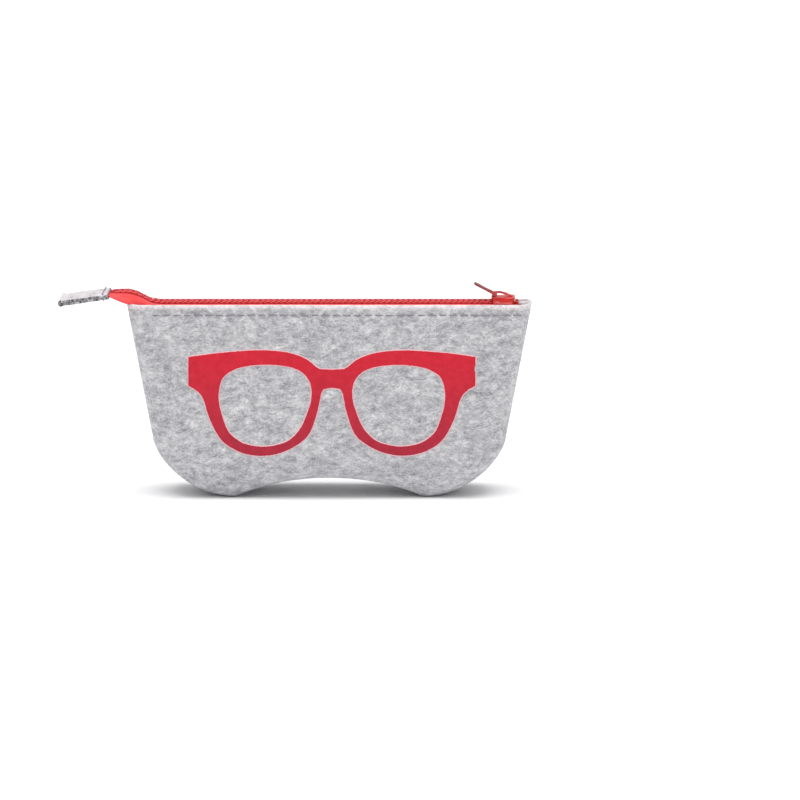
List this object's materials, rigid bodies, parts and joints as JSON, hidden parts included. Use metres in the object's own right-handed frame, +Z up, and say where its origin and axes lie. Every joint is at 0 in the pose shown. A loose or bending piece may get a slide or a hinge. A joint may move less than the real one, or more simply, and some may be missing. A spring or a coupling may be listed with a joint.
{
  "type": "eyeglasses case",
  "caption": "Soft zipped felt case for eyeglasses, standing on two feet under a boxed base, with a spectacles print and a felt tab at the zip's end.",
  "frame": {"origin": "bottom centre of the box round the whole object, on the surface the case stands on", "axes": "+X along the zip towards its closed end, +Y from the printed front to the plain back, +Z up"},
  "size_m": [0.2106, 0.041, 0.0948],
  "materials": {
    "grey_felt": "heather wool felt, light and dark grey fibres",
    "red_print": "thin matte printed film",
    "zip_tape": "woven polyester tape",
    "zip_coil": "satin polyester filament",
    "zip_cord": "braided polyester cord",
    "zip_thread": "polyester sewing thread",
    "red_metal": "red enamel on cast zinc alloy",
    "grey_thread": "dark grey sewing thread"
  },
  "bodies": {
    "pouch": {"back_panel": "grey_felt", "zipper_tape_back": "zip_tape", "zipper_coil_back": "zip_coil", "coil_core_cord_back": "zip_cord", "coil_thread_back": "zip_thread", "top_stop_back": "red_metal", "topstitch_back": "grey_thread", "topstitch_bobbin_back": "grey_thread", "seam_thread_back": "grey_thread"},
    "front_wall": {"front_panel": "grey_felt", "glasses_print": "red_print", "zipper_tape_front": "zip_tape", "zipper_coil_front": "zip_coil", "coil_core_cord_front": "zip_cord", "coil_thread_front": "zip_thread", "top_stop_front": "red_metal", "topstitch_front": "grey_thread", "topstitch_bobbin_front": "grey_thread", "seam_thread_front": "grey_thread"},
    "slider": {"slider_body": "red_metal"},
    "pull": {"pull_tab": "red_metal"},
    "tab": {"end_tab": "grey_felt", "tab_stitches": "grey_thread"}
  },
  "joints": [
    {"name": "slider_travel", "type": "slide", "parent": "pouch", "child": "slider", "axis": [-1, 0, 0], "range_m": [0, 0.15], "deforming": ["zipper_tape_front", "zipper_tape_back", "zipper_coil_front", "zipper_coil_back", "coil_core_cord_front", "coil_core_cord_back", "coil_thread_front", "coil_thread_back"]},
    {"name": "pull_swing", "type": "hinge", "parent": "slider", "child": "pull", "pos_m": [0.0893, 0, 0.0892], "axis": [0, 1, 0], "range_deg": [-34, 115]},
    {"name": "mouth_open", "type": "hinge", "parent": "pouch", "child": "front_wall", "pos_m": [0.015, -0.0125, 0], "axis": [1, 0, 0], "range_deg": [0, 15]},
    {"name": "tab_bend", "type": "hinge", "parent": "pouch", "child": "tab", "pos_m": [-0.0755, 0, 0.089], "axis": [0, 1, 0], "range_deg": [-35, 25], "stiffness_Nm_per_rad": 0.01}
  ],
  "couplings": [
    {"joint": "mouth_open", "follows": "slider_travel", "rad_per_m": 1.745}
  ]
}
